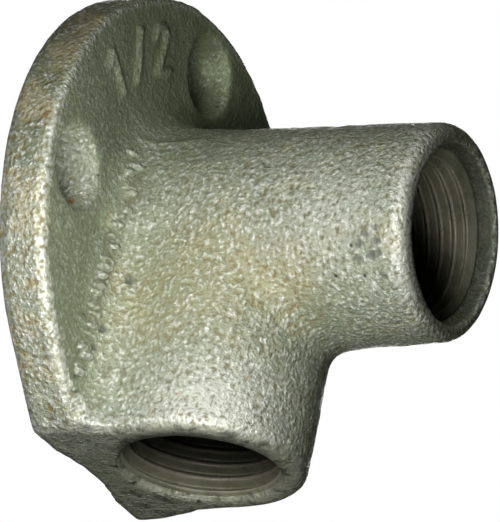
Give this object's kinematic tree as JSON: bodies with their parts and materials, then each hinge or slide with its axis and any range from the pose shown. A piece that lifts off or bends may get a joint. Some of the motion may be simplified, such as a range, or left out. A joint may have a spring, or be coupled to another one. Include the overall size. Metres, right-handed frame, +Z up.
{
  "type": "wall plate elbow",
  "caption": "Galvanised cast iron pipe elbow with a round wall plate, screw holes, a female threaded outlet socket standing out of the wall and a female threaded inlet facing down.",
  "frame": {"origin": "centre of the plate's back face, where the outlet socket's axis meets the wall", "axes": "+Z up, away from the inlet port; +Y into the wall; +X to the right of someone who faces the wall"},
  "size_m": [0.0634, 0.0461, 0.062],
  "materials": {
    "galvanised_casting": "rough as-cast zinc coat, dull grey with rust-brown specks"
  },
  "bodies": {
    "root": {"elbow_casting": "galvanised_casting"}
  },
  "joints": []
}
